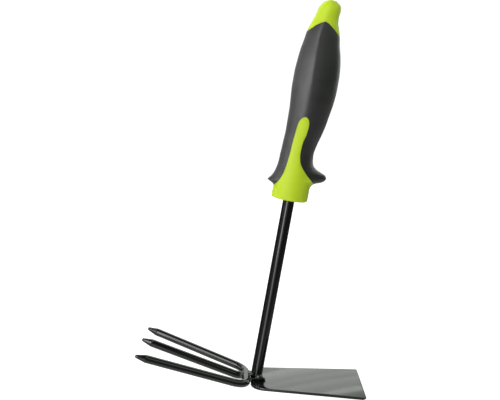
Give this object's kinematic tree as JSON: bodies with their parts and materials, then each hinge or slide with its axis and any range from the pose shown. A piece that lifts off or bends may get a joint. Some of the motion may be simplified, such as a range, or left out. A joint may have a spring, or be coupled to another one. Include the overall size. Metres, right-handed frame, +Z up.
{
  "type": "hand cultivator",
  "caption": "Hand cultivator: flat trapezoid hoe blade on one side, round pointed tines on the other, straight steel shaft and a moulded handle with a soft grip and a finger guard.",
  "frame": {"origin": "on the flat sole of the hoe blade, where the centre line of the shaft meets it", "axes": "+Z up out of the sole, with the tool standing on its blade; +X from the foot of the shaft towards the blade's cutting edge, -X towards the tine tips; Y = 0 is the middle plane of the tool"},
  "size_m": [0.1857, 0.0774, 0.3141],
  "materials": {
    "lime_plastic": "lime green injection-moulded plastic, fine satin",
    "soft_grip": "matte charcoal soft-touch moulding",
    "black_paint": "glossy black stoving paint on steel",
    "blade_paint": "glossy black stoving paint on flat sheet",
    "painted_weld": "lumpy weld metal under black paint"
  },
  "bodies": {
    "root": {"handle_core": "lime_plastic", "grip_sleeve": "soft_grip", "shaft_tube": "black_paint", "hoe_blade": "blade_paint", "outer_tines": "black_paint", "centre_tine": "black_paint", "shaft_foot_weld": "painted_weld", "shaft_fork_weld": "painted_weld", "near_blade_weld": "painted_weld", "far_blade_weld": "painted_weld", "centre_tine_weld": "painted_weld"}
  },
  "joints": []
}
